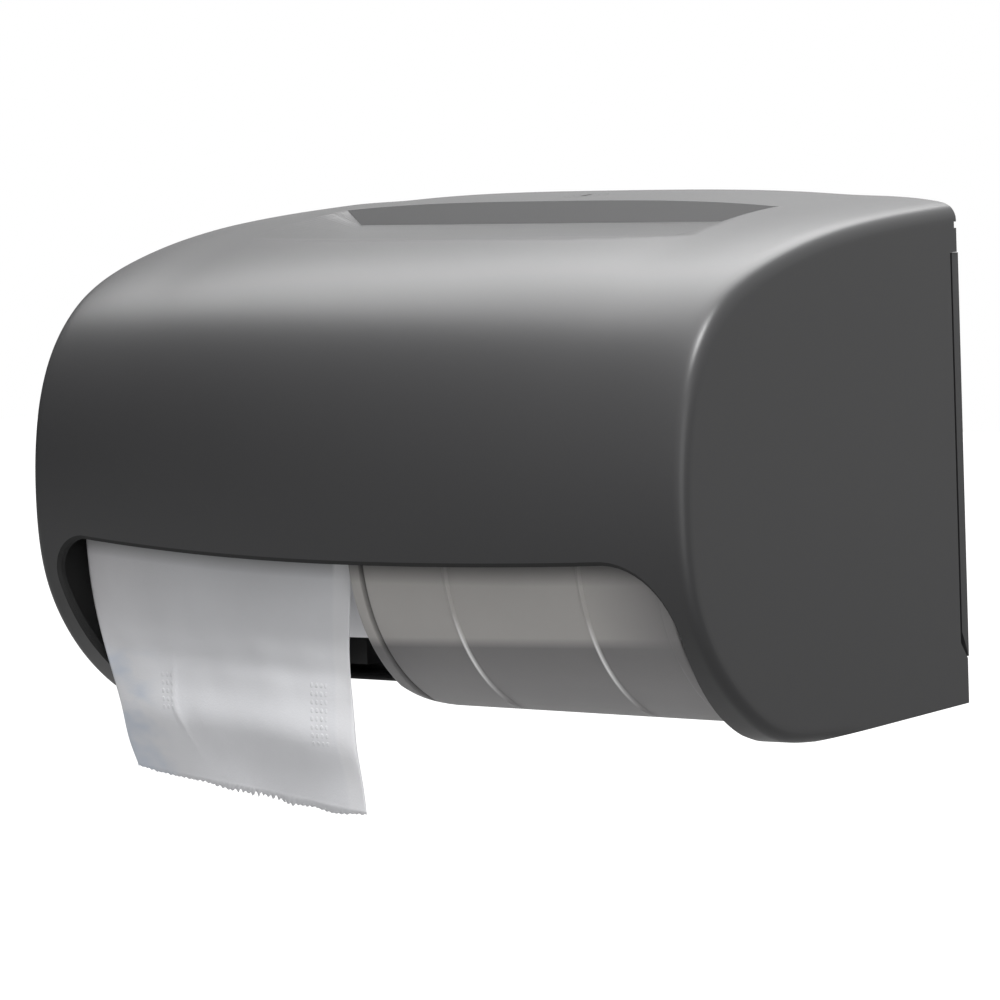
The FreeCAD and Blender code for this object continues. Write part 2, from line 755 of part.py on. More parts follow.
# Hanging tissue: leaves the front of the left roll, waves a little, and its left edge swings back
def tail_section(level):
    left = -(roll_half_gap + roll_width)
    right = -roll_half_gap
    front = axis_depth + roll_radius + loose_gap
    steps = len(tail_wave_shares) - 1
    faces = []
    for thick in (0, tail_thick):
        points = []
        for index, wave in enumerate(tail_wave_shares):
            share = index / steps
            across = left + (right - left) * share + tail_side * (1 - share) * level
            depth = front + thick + level * (tail_wave * wave - tail_swing * (1 - share) * level)
            drop = tail_left_drop + (tail_right_drop - tail_left_drop) * share
            height = axis_height - level * (axis_height + drop)
            points.append(at(across, depth, height))
        curve = Part.BSplineCurve()
        curve.interpolate(points)
        faces.append(curve)
    ends = [Part.makeLine(faces[0].EndPoint, faces[1].EndPoint),
            Part.makeLine(faces[1].StartPoint, faces[0].StartPoint)]
    back = faces[1].toShape()
    return Part.Wire(Part.sortEdges([faces[0].toShape(), ends[0], back, ends[1]])[0])


def make_hanging_tissue():
    sections = [tail_section(level) for level in tail_level_shares]
    save("hanging_tissue", Part.makeLoft(sections, True, False))


os.makedirs("parts", exist_ok=True)
make_cover()
make_back_plate()
save("left_bracket", make_side_bracket(-1))
save("right_bracket", make_side_bracket(1))
make_centre_bracket()
make_bracket_screws()
make_hinge_pins()
make_keeper()
make_lock()
make_shutter()
make_shutter_rail()
make_rail_screws()
make_roll("left", -1)
make_roll("right", 1)
make_hanging_tissue()
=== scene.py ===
import math

import bmesh
import bpy
import numpy as np
from mathutils import Matrix, Vector


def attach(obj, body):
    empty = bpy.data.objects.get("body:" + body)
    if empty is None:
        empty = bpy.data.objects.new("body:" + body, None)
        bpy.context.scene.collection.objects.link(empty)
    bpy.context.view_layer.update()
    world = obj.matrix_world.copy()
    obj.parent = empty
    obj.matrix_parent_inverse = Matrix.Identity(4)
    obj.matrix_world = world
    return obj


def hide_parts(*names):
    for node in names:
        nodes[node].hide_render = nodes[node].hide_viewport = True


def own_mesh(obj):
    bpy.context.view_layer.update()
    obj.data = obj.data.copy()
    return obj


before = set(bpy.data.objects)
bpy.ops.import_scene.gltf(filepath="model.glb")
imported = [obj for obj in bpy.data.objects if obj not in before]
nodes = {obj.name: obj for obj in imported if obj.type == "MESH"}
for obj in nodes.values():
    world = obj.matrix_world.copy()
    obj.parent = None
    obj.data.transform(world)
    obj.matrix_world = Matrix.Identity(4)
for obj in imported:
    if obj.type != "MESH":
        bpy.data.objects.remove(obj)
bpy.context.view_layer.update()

# Frame of pieces
# Blender counts in metres. The origin is the centre of the four wall screws, the wall is y = 0,
# the front faces -Y, and each node keeps the place that the frame gives it.
bpy.context.scene.view_settings.view_transform = "Standard"

# Camera
# A long lens seen from the right of the cabinet and a little above its middle. The place and the
# angles are those that put the cabinet's outline where the photograph shows it.
camera_place = Vector((1.1255, -1.4609, 0.1332))
camera_azimuth = 39.0
camera_elevation = 4.57
camera_roll = -1.97
camera_lens = 197.66
camera_sensor = 36.0

camera_data = bpy.data.cameras.new("camera")
camera_data.lens = camera_lens
camera_data.sensor_width = camera_sensor
camera = bpy.data.objects.new("camera", camera_data)
bpy.context.scene.collection.objects.link(camera)
turn = Matrix.Rotation(math.radians(camera_azimuth), 4, "Z")
tilt = Matrix.Rotation(math.radians(90 - camera_elevation), 4, "X")
roll = Matrix.Rotation(math.radians(camera_roll), 4, "Z")
camera.matrix_world = Matrix.Translation(camera_place) @ turn @ tilt @ roll
bpy.context.scene.camera = camera

# Cover
# One moulded shell of charcoal ABS, 2.8 mm thick and satin outside. Its front is bowed, its top is
# crowned with a shallow scoop, and it swings down on two pins near its lower rear corners.
mount_height = 78.0
half_width = 135.0
cover_depth = 150.2
cover_height = 159.0
cover_wall = 2.8
bow_depth = 7.5
crown_height = 7.6
shoulder_rise = 1.5
shoulder_start = 0.66
shoulder_run = 0.27
shoulder_end = 0.965
shoulder_fall = 0.035
rear_gap = 1.2
rim_round = 3.2
rim_segments = 6
rim_column = 4.2
cover_columns = 105
outline_steps = 132
side_border = 1.5
curve_edge_limit = 0.01
side_face_area = 0.005
inner_top_slope = 0.01
weld_reach = 0.00001
cover_weld_reach = 0.00002

# The side outline, from the lower front up and back along the top, in shares of depth and height
outline_shares = (
    (0.560, -0.0190), (0.680, -0.0030), (0.800, 0.0580), (0.900, 0.1500), (0.975, 0.2780),
    (1.000, 0.4450), (0.990, 0.5900), (0.943, 0.7320), (0.835, 0.8500), (0.66, 0.9225),
    (0.39, 0.9740), (0.20, 0.9905),
)
overrun = 20.0


def at(x, depth, height):
    """A place in the frame from millimetres across, forward from the wall, and above the cover's
    lower rear corner."""
    return Vector((x, -depth, height - mount_height)) / 1000


def only(piece):
    """Leave nothing but this piece selected, and make it the active one."""
    bpy.ops.object.select_all(action="DESELECT")
    piece.select_set(True)
    bpy.context.view_layer.objects.active = piece
    return piece


def bent_grid(name, columns, rows, place):
    """A grid whose every corner goes where its column and row are placed."""
    bpy.ops.object.select_all(action="DESELECT")
    bpy.ops.mesh.primitive_grid_add(x_subdivisions=columns, y_subdivisions=rows, size=2)
    made = bpy.context.object
    made.name = made.data.name = name
    for corner in made.data.vertices:
        column = round((corner.co.x + 1) / 2 * columns)
        row = round((corner.co.y + 1) / 2 * rows)
        corner.co = place(column, row)
    return made


def sealed(piece):
    """Merge where a bent grid meets itself, close its open ends and turn every face outwards."""
    only(piece)
    bpy.ops.object.mode_set(mode="EDIT")
    bpy.ops.mesh.select_all(action="SELECT")
    bpy.ops.mesh.remove_doubles(threshold=weld_reach)
    bpy.ops.mesh.fill_holes(sides=0)
    bpy.ops.mesh.normals_make_consistent(inside=False)
    bpy.ops.object.mode_set(mode="OBJECT")
    return piece


def prism(name, start, end):
    """A closed solid between two outlines with the same number of corners."""
    bpy.ops.object.select_all(action="DESELECT")
    bpy.ops.mesh.primitive_cylinder_add(vertices=len(start), end_fill_type="NGON")
    made = bpy.context.object
    made.name = made.data.name = name
    lower = [corner for corner in made.data.vertices if corner.co.z < 0]
    upper = [corner for corner in made.data.vertices if corner.co.z > 0]
    for corners, outline in ((lower, start), (upper, end)):
        for corner, spot in zip(corners, outline):
            corner.co = spot
    return sealed(made)


def rod(name, radius, start, end, sides):
    """A round bar from one place to another."""
    start, end = Vector(start), Vector(end)
    along = (end - start).normalized()
    across = along.orthogonal().normalized() * radius / 1000
    up = along.cross(across)
    turns = [2 * math.pi * side / sides for side in range(sides)]
    ring = [across * math.cos(angle) + up * math.sin(angle) for angle in turns]
    return prism(name, [start + spoke for spoke in ring], [end + spoke for spoke in ring])


def use(piece, kind, **settings):
    """Add a modifier, set it and apply it."""
    only(piece)
    modifier = piece.modifiers.new(kind.lower(), kind)
    for name, value in settings.items():
        setattr(modifier, name, value)
    bpy.ops.object.modifier_apply(modifier=modifier.name)


def smooth(piece, angle=30):
    """Shade the piece smooth, but keep its edges over this angle sharp."""
    only(piece)
    bpy.ops.object.shade_smooth_by_angle(angle=math.radians(angle))


def carve(piece, tools, operation="DIFFERENCE"):
    """Cut these solids out of the piece, or join them on."""
    only(tools[0])
    for tool in tools:
        tool.select_set(True)
    if len(tools) > 1:
        bpy.ops.object.join()
    tool = bpy.context.object
    use(piece, "BOOLEAN", object=tool, operation=operation, solver="EXACT")
    bpy.data.objects.remove(tool)


def smooth_line(points, count):
    """Evenly spaced places on the curve through these points that has no sudden change of bend."""
    points = np.array(points, float)
    marks = np.append(0, np.cumsum(np.linalg.norm(np.diff(points, axis=0), axis=1)))
    steps = np.diff(marks)
    slopes = np.diff(points, axis=0) / steps[:, None]
    matrix = np.eye(len(points))
    side = np.zeros_like(points)
    for row in range(1, len(points) - 1):
        before, after = steps[row - 1], steps[row]
        matrix[row, row - 1:row + 2] = before, 2 * (before + after), after
        side[row] = 6 * (slopes[row] - slopes[row - 1])
    bends = np.linalg.solve(matrix, side)
    fine = np.linspace(0, marks[-1], 20 * count + 1)
    span = np.clip(np.searchsorted(marks, fine, side="right") - 1, 0, len(steps) - 1)
    step = steps[span][:, None]
    ahead = (marks[span + 1] - fine)[:, None]
    behind = (fine - marks[span])[:, None]
    line = (bends[span] * ahead ** 3 + bends[span + 1] * behind ** 3) / (6 * step)
    line += (points[span] / step - bends[span] * step / 6) * ahead
    line += (points[span + 1] / step - bends[span + 1] * step / 6) * behind
    lengths = np.append(0, np.cumsum(np.linalg.norm(np.diff(line, axis=0), axis=1)))
    even = np.linspace(0, lengths[-1], count + 1)
    return np.column_stack([np.interp(even, lengths, values) for values in line.T])


def swell(x, depth, height):
    """A place on the cover's outline at this distance from the middle, bowed and crowned."""
    reach = min(abs(x) / half_width, 1)
    bow = bow_depth * (1 - reach ** 2)
    rising = min(max((reach - shoulder_start) / shoulder_run, 0), 1)
    falling = min(max((reach - shoulder_end) / shoulder_fall, 0), 1)
    shoulder = shoulder_rise * rising * rising * (3 - 2 * rising) * (1 - falling)
    crown = crown_height * (1 - reach ** 3) + shoulder
    return at(x, depth * (1 + bow / cover_depth), height * (1 + crown / cover_height))


def inset(line, distance):
    """The outline moved inwards by a distance, or outwards by a negative one."""
    run = np.gradient(line, axis=0)
    run /= np.linalg.norm(run, axis=1)[:, None]
    return line + distance * np.column_stack((-run[:, 1], run[:, 0]))


def cover_body(name, half, line, corners):
    """A closed body under the bowed and crowned outline."""
    between = np.linspace(rim_column - half, half - rim_column, cover_columns)
    places = [-half] + list(between) + [half]
    spots = corners[:1] + [tuple(spot) for spot in line] + corners[1:] + corners[:1]
    body = bent_grid(name, len(places) - 1, len(spots) - 1,
                     lambda column, row: swell(places[column], *spots[row]))
    return sealed(body)


outline = [(depth * cover_depth, height * cover_height) for depth, height in outline_shares]
outline = smooth_line(outline + [(rear_gap, cover_height)], outline_steps)
cover = cover_body("cover_shell", half_width, outline, [(rear_gap, 0)])

# Round the rims where the front and the top meet the sides, and border the flat sides
only(cover)
bpy.ops.object.mode_set(mode="EDIT")
bpy.ops.mesh.select_all(action="DESELECT")
work = bmesh.from_edit_mesh(cover.data)
for edge in work.edges:
    ends = [abs(abs(corner.co.x) - half_width / 1000) < weld_reach for corner in edge.verts]
    edge.select_set(all(ends) and edge.calc_length() < curve_edge_limit)
bmesh.update_edit_mesh(cover.data)
bpy.ops.mesh.bevel(offset=rim_round / 1000, segments=rim_segments, profile=0.5, affect="EDGES")
bpy.ops.mesh.select_all(action="DESELECT")
work = bmesh.from_edit_mesh(cover.data)
for face in work.faces:
    face.select_set(abs(face.normal.x) > 0.999 and face.calc_area() > side_face_area)
bmesh.update_edit_mesh(cover.data)
bpy.ops.mesh.inset(thickness=side_border / 1000)
bpy.ops.object.mode_set(mode="OBJECT")

inner_line = inset(outline, cover_wall)
inner_line[-1] = (-overrun, inner_line[-1][1] + overrun * inner_top_slope)
cavity = cover_body("cavity", half_width - cover_wall, inner_line,
                    [(inner_line[0][0], -overrun), (-overrun, -overrun)])

# Scoop in the top: a leaning back wall, a nearly level floor that runs out into the top at the
# front, and ends that rise as shallow ramps. Underneath it is a pan of the same wall. scoop_ends
# says for each side how far the floor's end moves in towards the front, and where its ramp meets the
# top. The floor is given as depths and heights, and the section's corners as sides and levels.
scoop_back = 43.4
scoop_back_foot = 2.0
scoop_front = 106.0
scoop_half = 78.5
scoop_ends = {-1: (41.5, 87.0), 1: (-8.0, 93.0)}
scoop_wide_half = 103.0
scoop_splay_depth = 55.0
scoop_floor = (
    (38, 157.7), (42, 157.5), (58, 156.2), (74, 155.3), (84, 154.9), (100, 154.5), (110, 154.4),
)
scoop_lean = 0.7
scoop_least_slope = 0.006
scoop_columns = 28
scoop_corners = ((-1, 0), (1, 0), (1, 1), (1, 2), (-1, 2), (-1, 1))


def top_at(depth, x=0.0):
    """Height of the cover's top at this depth and distance from the middle."""
    places = [swell(x, *spot) for spot in outline if spot[1] > cover_height / 2][::-1]
    depths = [-place.y * 1000 for place in places]
    heights = [place.z * 1000 + mount_height for place in places]
    return float(np.interp(depth, depths, heights))


def front_at(x, height):
    """Depth of the cover's front at a place across it and at this height."""
    foot = cover_depth * outline_shares[0][0]
    places = [swell(x, *spot) for spot in outline if spot[0] > foot]
    heights = [place.z * 1000 + mount_height for place in places]
    return float(np.interp(height, heights, [-place.y * 1000 for place in places]))


def scoop(name, grow):
    """The scoop's space, with its floor and walls moved out by this much."""
    start, end = scoop_back + scoop_back_foot, scoop_front + grow
    depths = [scoop_back - grow] + list(np.linspace(start, end, scoop_columns))

    def spot(column, row):
        depth = depths[column]
        side, level = scoop_corners[row % len(scoop_corners)]
        splay, end_half = scoop_ends[side]
        floor = float(np.interp(depth, *zip(*scoop_floor)))
        foot = scoop_half - splay * min(max((depth - scoop_back) / scoop_splay_depth, 0), 1)
        slope = max((top_at(depth, end_half) - floor) / (end_half - foot), scoop_least_slope)
        ramp = slope * (scoop_wide_half - foot)
        wide = scoop_wide_half if level else foot
        rise = (0, ramp, ramp + overrun)[level]
        lean = 0 if column else scoop_lean * rise
        return at(side * (wide + grow), depth - lean, floor - grow + rise)

    return sealed(bent_grid(name, len(depths) - 1, len(scoop_corners), spot))


carve(cavity, [scoop("pan", cover_wall)])
carve(cover, [cavity])

# Bosses inside: two for the hinge pins, one under the lock and three for the shutter's rail
hinge_depth = 45.0
hinge_height = 6.0
hinge_boss = 6.0
hinge_boss_length = 3.0
hinge_bore = 3.08
hinge_web = 1.4
hinge_sides = 48
lock_depth = 20.0
lock_drop = 0.4
lock_face = top_at(lock_depth) - lock_drop
lock_head_radius = 7.6
lock_head = 2.0
lock_bore = 6.1
lock_pad = 11.5
lock_pad_depth = 5.8
lock_sides = 64
rail_face = 147.2
rail_boss = 4.2
rail_boss_sides = 40
rail_pilot = 1.96
rail_pilot_sides = 24
rail_height = 78.6
rail_half = 123.4
rail_screw_share = 0.7
rail_places = (-rail_screw_share * rail_half, 0, rail_screw_share * rail_half)

bosses = []
bores = []
for side in (-1, 1):
    inner = side * (half_width - cover_wall - hinge_boss_length)
    bosses.append(rod("boss", hinge_boss, at(inner, hinge_depth, hinge_height),
                      at(side * (half_width - cover_wall / 2), hinge_depth, hinge_height),
                      hinge_sides))
    bores.append(rod("bore", hinge_bore, at(inner - side * overrun, hinge_depth, hinge_height),
                     at(side * (half_width - hinge_web), hinge_depth, hinge_height), hinge_sides))
bosses.append(rod("boss", lock_pad, at(0, lock_depth, lock_face - lock_pad_depth),
                  at(0, lock_depth, lock_face - cover_wall / 2), lock_sides))
bores.append(rod("bore", lock_bore, at(0, lock_depth, lock_face - overrun),
                 at(0, lock_depth, lock_face + overrun), lock_sides))
lock_seat = rod("lock_seat", lock_head_radius, at(0, lock_depth, lock_face - lock_head),
                at(0, lock_depth, lock_face + overrun), lock_sides)
for x in rail_places:
    front = front_at(x, rail_height)
    bosses.append(rod("boss", rail_boss, at(x, rail_face, rail_height),
                      at(x, front - cover_wall / 2, rail_height), rail_boss_sides))
    bores.append(rod("bore", rail_pilot, at(x, rail_face - overrun, rail_height),
                     at(x, front - cover_wall, rail_height), rail_pilot_sides))

# Window in the lower front, with round upper corners. Its top edge droops a little in the middle,
# and its left corner is tighter and stands higher.
window_half = 126.0
window_taper = 3.5
window_top = 57.3
window_droop = 2.4
window_corner = 22.0
window_left_corner = 14.0
window_left_rise = 2.2
window_side_steps = 18
window_corner_steps = 12
window_top_steps = 24


def window_side(corner, top):
    """Half of the window's outline, from below up to the middle of its top edge."""
    shoulder = top - corner
    foot = window_half - window_taper * (1 + overrun / shoulder)
    points = []
    for step in range(window_side_steps + 1):
        share = step / window_side_steps
        x = foot + (window_half - foot) * share
        points.append((x, -overrun + (shoulder + overrun) * share))
    for step in range(1, window_corner_steps):
        angle = math.radians(90 * step / window_corner_steps)
        x = window_half - corner * (1 - math.cos(angle))
        points.append((x, shoulder + corner * math.sin(angle)))
    middle = window_top - window_droop
    for step in range(window_top_steps):
        share = 1 - step / window_top_steps
        points.append(((window_half - corner) * share, middle + (top - middle) * share ** 2))
    return points


left_side = window_side(window_left_corner, window_top + window_left_rise)
window = window_side(window_corner, window_top) + [(0, window_top - window_droop)]
window += [(-x, height) for x, height in left_side[::-1]]

# A small chamfer breaks the window's outer edge. Towards the foot of each side it fades out.
window_chamfer = 1.1
chamfer_reach = 2.0
chamfer_lap = 0.4
chamfer_foot = 10.0
chamfer_growth = 14.0
chamfer_least = -0.3
chamfer_inner = inset(np.array(window), chamfer_lap)
chamfer_outer = inset(np.array(window), -chamfer_reach)


def chamfer_spot(column, row):
    """A corner of the three sided cutter that follows the window's edge."""
    x, height = window[column]
    share = min(max((height - chamfer_foot) / chamfer_growth, chamfer_least), 1)
    front = front_at(x, height) - window_chamfer * share
    x, height = (chamfer_outer if row % 3 == 1 else chamfer_inner)[column]
    depth = front + (-chamfer_lap if row % 3 == 0 else chamfer_reach)
    return at(float(x), depth, float(height))


# A reveal for the back plate's ear and a small nick in the rear edge of each side
reveal_front = rear_gap + 3.8
reveal_foot = 14.5
reveal_knee = 19.8
reveal_top = 145.3
reveal = ((-overrun, reveal_foot), (rear_gap, reveal_foot), (reveal_front, reveal_knee),
          (reveal_front, reveal_top), (-overrun, reveal_top))
nick_front = rear_gap + 1.2
nick_foot = 153.0
nick_top = 155.0
nick = ((-overrun, nick_foot), (nick_front, nick_foot), (nick_front, nick_top),
        (-overrun, nick_top))


def slab(name, profile, ends):
    """A cutter of this side profile, from one place across the cabinet to another."""
    return prism(name, *[[at(x, *spot) for spot in profile] for x in ends])


outside = half_width + overrun
cutters = [
    scoop("scoop", 0),
    prism("window", *[[at(x, depth, height) for x, height in window]
                      for depth in (hinge_depth + 2 * hinge_boss, cover_depth + overrun)]),
    slab("reveal", reveal, (-outside, outside)),
    slab("nick", nick, (-outside, outside)),
]
carve(cover, bosses, "UNION")
carve(cover, cutters + bores)
carve(cover, [lock_seat])
carve(cover, [sealed(bent_grid("window_edge", len(window) - 1, 3, chamfer_spot))])
use(cover, "WELD", merge_threshold=cover_weld_reach)
smooth(cover)


# The finish maths is written as expressions on sockets, such as 1 - mask or grain * 0.08 + 0.4.
# Places in it are object coordinates, which count in metres.
class Wire:
    """An output socket that can be added, subtracted and multiplied."""

    def __init__(self, finish, socket):
        self.finish = finish
        self.socket = socket

    def maths(self, operation, first, second=0.0):
        return self.finish.node("ShaderNodeMath", {"operation": operation}, {0: first, 1: second})

    def __add__(self, other):
        return self.maths("ADD", self, other)

    def __radd__(self, other):
        return self.maths("ADD", other, self)

    def __sub__(self, other):
        return self.maths("SUBTRACT", self, other)

    def __rsub__(self, other):
        return self.maths("SUBTRACT", other, self)

    def __mul__(self, other):
        return self.maths("MULTIPLY", self, other)

    def __rmul__(self, other):
        return self.maths("MULTIPLY", other, self)

    def spread(self, low, high):
        """This socket's range from low to high, spread to 0 to 1."""
        return self.finish.node("ShaderNodeMapRange", {"clamp": True},
                                {"Value": self, "From Min": low, "From Max": high})

    def away(self, middle):
        """How far this socket is from a middle value."""
        return self.maths("ABSOLUTE", self - middle)

    def wave(self, length):
        """0 to 1 and back once in each length."""
        return self.maths("SINE", self * (2 * math.pi / length)) * 0.5 + 0.5


class Board:
    """A node tree whose nodes are added one call at a time."""

    def __init__(self, tree):
        self.tree = tree

    def feed(self, socket, value):
        if isinstance(value, Wire):
            self.tree.links.new(value.socket, socket)
        elif isinstance(value, tuple) and len(value) == 3 and socket.type == "RGBA":
            socket.default_value = (*value, 1)
        else:
            socket.default_value = value

    def node(self, kind, settings, sockets, output=0):
        added = self.tree.nodes.new(kind)
        for name, value in settings.items():
            setattr(added, name, value)
        for name, value in sockets.items():
            self.feed(added.inputs[name], value)
        return Wire(self, added.outputs[output])

    def part(self, vector, axis):
        """One of a vector's three numbers."""
        return self.node("ShaderNodeSeparateXYZ", {}, {"Vector": vector}, axis)

    def ray(self, kind):
        """1 for rays of this kind, otherwise 0."""
        return self.node("ShaderNodeLightPath", {}, {}, "Is " + kind + " Ray")


class Finish(Board):
    """A material of one shader."""

    def __init__(self, name, colour, roughness, **constants):
        self.material = bpy.data.materials.new(name)
        self.material.use_nodes = True
        super().__init__(self.material.node_tree)
        self.shader = self.tree.nodes["Principled BSDF"]
        self.set("Base Color", colour)
        self.set("Roughness", roughness)
        for socket, value in constants.items():
            self.set(socket.replace("_", " "), value)

    def place(self, scale=(1, 1, 1)):
        """Object coordinates, stretched."""
        coordinates = self.node("ShaderNodeTexCoord", {}, {}, "Object")
        return self.node("ShaderNodeMapping", {}, {"Vector": coordinates, "Scale": scale})

    def noise(self, scale, detail, stretch=(1, 1, 1)):
        """Noise from 0 to 1 with scale cells in a metre."""
        return self.node("ShaderNodeTexNoise", {},
                         {"Vector": self.place(stretch), "Scale": scale, "Detail": detail})

    def blend(self, share, first, second):
        """One colour turned into another by a share."""
        return self.node("ShaderNodeMix", {"data_type": "RGBA"},
                         {"Factor": share, 6: first, 7: second}, 2)

    def bump(self, height, distance, strength):
        """Turn a height from 0 to 1 into relief of this many metres."""
        sockets = {"Height": height, "Distance": distance, "Strength": strength}
        self.set("Normal", self.node("ShaderNodeBump", {}, sockets))

    def set(self, name, value):
        self.feed(self.shader.inputs[name], value)


def dress(piece, finish):
    piece.data.materials.clear()
    piece.data.materials.append(finish.material)


# Satin charcoal with a fine grain and a trace of dust. The inner faces of the sides and the
# underside of the window's top edge are painted nearly black as painted shade, and made dull.
charcoal = (0.0185, 0.0185, 0.0195)
dusty = (0.045, 0.044, 0.042)
deep_shade = (0.003, 0.003, 0.003)
lintel_foot = (-0.034, -0.030)
lintel_head = (-0.016, -0.014)
charcoal_plastic = Finish("charcoal_plastic", charcoal, 0.4)
grain = charcoal_plastic.noise(2600, 3)
cloud = charcoal_plastic.noise(14, 3)
dust = charcoal_plastic.noise(900, 4).spread(0.6, 0.9)
across = charcoal_plastic.part(charcoal_plastic.place(), 0)
height = charcoal_plastic.part(charcoal_plastic.place(), 2)
facing = charcoal_plastic.node("ShaderNodeTexCoord", {}, {}, "Normal")
inwards = 1 - (across * charcoal_plastic.part(facing, 0)).spread(-0.06, -0.04)
downwards = 1 - charcoal_plastic.part(facing, 2).spread(-0.55, -0.35)
lintel = downwards * height.spread(*lintel_foot) * (1 - height.spread(*lintel_head))
# Painted shade: the inner side faces and the underside of the window's top edge turn nearly black.
painted_shade = inwards.maths("MAXIMUM", inwards, lintel)
shell = charcoal_plastic.blend(dust * 0.2, charcoal, dusty)
charcoal_plastic.set("Base Color", charcoal_plastic.blend(painted_shade * 0.8, shell, deep_shade))
charcoal_plastic.set("Roughness", grain * 0.08 + cloud * 0.05 + painted_shade * 0.5 + 0.33)
charcoal_plastic.bump(grain, 0.00002, 0.6)
dress(cover, charcoal_plastic)
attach(cover, "cover")
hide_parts("cover")

# Back plate
# A shallow tray of the same ABS with cross ribs, screw bosses and an ear in each side's reveal,
# screwed to the wall through four holes. A dark groove parts each ear from the cover.
ear_front = 3.5
ear_root = 131.0
groove_end = 6.0
groove_foot = -5.0
groove_top = 150.0
groove_profile = ((ear_front, groove_foot), (groove_end, groove_foot), (groove_end, groove_top),
                  (ear_front, groove_top))


def copy_of(node, name):
    """A copy of one of the frame's pieces, to be reshaped."""
    only(nodes[node])
    bpy.ops.object.duplicate()
    made = bpy.context.object
    made.name = made.data.name = name
    return made


back_plate = copy_of("back_plate", "wall_plate")
use(back_plate, "WELD", merge_threshold=weld_reach)
carve(back_plate, [slab("groove", groove_profile, (side * ear_root, side * outside))
                   for side in (-1, 1)])
smooth(back_plate)
use(back_plate, "WEIGHTED_NORMAL", keep_sharp=True, weight=100)
plate_plastic = Finish("plate_plastic", (0.02, 0.02, 0.021), 0.45)
grain = plate_plastic.noise(2200, 3)
plate_plastic.set("Roughness", grain * 0.08 + plate_plastic.noise(20, 3) * 0.08 + 0.4)
plate_plastic.bump(grain, 0.00003, 0.6)
dress(back_plate, plate_plastic)
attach(back_plate, "root")
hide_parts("back_plate")

# Brackets, rail and spindles
# Black nylon mouldings: arms with open slots for the spindle ends, the shutter's rail under the
# cover's front, and ribbed spindles that carry the cores.
black_nylon = Finish("black_nylon", (0.012, 0.012, 0.0125), 0.5)
flow = black_nylon.noise(60, 4, (1, 0.3, 1))
black = black_nylon.blend(flow, (0.010, 0.010, 0.0105), (0.017, 0.017, 0.018))
black_nylon.set("Base Color", black)
black_nylon.set("Roughness", flow * 0.2 + 0.42)
black_nylon.bump(black_nylon.noise(3000, 2), 0.00002, 0.5)
for name in ("left_bracket", "right_bracket", "centre_bracket", "shutter_rail", "left_spindle",
             "right_spindle"):
    dress(nodes[name], black_nylon)

# Screws, pins and keeper
# Zinc plated steel, bright with a faint mottle, and a bent keeper of galvanised strip with the
# larger flakes of hot dipping.
zinc_plate = Finish("zinc_plate", (0.60, 0.60, 0.58), 0.3, Metallic=1.0)
mottle = zinc_plate.noise(700, 3)
zinc_plate.set("Base Color", zinc_plate.blend(mottle, (0.52, 0.53, 0.53), (0.68, 0.67, 0.62)))
zinc_plate.set("Roughness", mottle * 0.25 + 0.22)
for name in ("bracket_screws", "hinge_pins", "keeper_screws", "lock_nut", "lock_cam", "cam_screw",
             "rail_screws"):
    dress(nodes[name], zinc_plate)

galvanised = Finish("galvanised_strip", (0.5, 0.51, 0.52), 0.45, Metallic=1.0)
sockets = {"Vector": galvanised.place(), "Scale": 420.0}
flakes = galvanised.part(galvanised.node("ShaderNodeTexVoronoi", {}, sockets, "Color"), 0)
galvanised.set("Base Color", galvanised.blend(flakes, (0.38, 0.39, 0.40), (0.6, 0.61, 0.62)))
galvanised.set("Roughness", flakes * 0.2 + 0.35)
dress(nodes["keeper"], galvanised)

# Lock
# A die cast cam lock, lacquered like the cover. Barrel and plug end flush in the cover's top, so
# that the lock hardly shows: what lies within the lock's top band follows the top.
lock_top_band = 0.1
lock_lacquer = Finish("lock_lacquer", charcoal, 0.38)
lock_lacquer.set("Roughness", lock_lacquer.noise(1500, 2) * 0.08 + 0.35)
lock_lacquer.bump(lock_lacquer.noise(2600, 3), 0.00002, 0.5)
for name, body in (("lock_barrel", "cover"), ("lock_plug", "lock")):
    piece = copy_of(name, name + "_flush")
    for corner in piece.data.vertices:
        x, y, z = (value * 1000 for value in piece.matrix_world @ corner.co)
        if z + mount_height > lock_face - lock_top_band:
            corner.co.z += (top_at(-y, x) - mount_height - z) / 1000
    use(piece, "WELD", merge_threshold=weld_reach)
    smooth(piece)
    dress(piece, lock_lacquer)
    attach(piece, body)
    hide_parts(name)

# Shutter
# A sliding panel of smoke grey frosted plastic, 1.6 mm thick and curved round the roll, with a rim
# at each end and two ribs. A lip along its top hangs in the rail.
shutter_left = -3.5
shutter_width = 126.5
shutter_thick = 1.6
shutter_radius = 61.0
shutter_sweep = 68.0
shutter_front = 144.2
shutter_centre = 61.7
shutter_lip = 1.4
shutter_lip_under = 70.1
shutter_band_top = 66.3
shutter_rim = 4.4
shutter_groove = 0.9
shutter_rib = 2.2
shutter_raise = 0.9
shutter_corner = 13.0
shutter_rib_shares = (0.3083, 0.7292)
shutter_right = shutter_left + shutter_width
shutter_band = (
    (64.5, 1), (65.4, 1), (65.8, 0.8), (66.0, 0.5), (shutter_band_top, 0), (68, 0), (69.2, 0),
)
shutter_lip_line = ((0.08, 69.8), (0.3, shutter_lip_under), (shutter_lip, shutter_lip_under))
arc_steps = 56
raise_steps = 6
rib_steps = 6
rim_clear = 1.8
plain_stations = 48
station_gap = 0.9

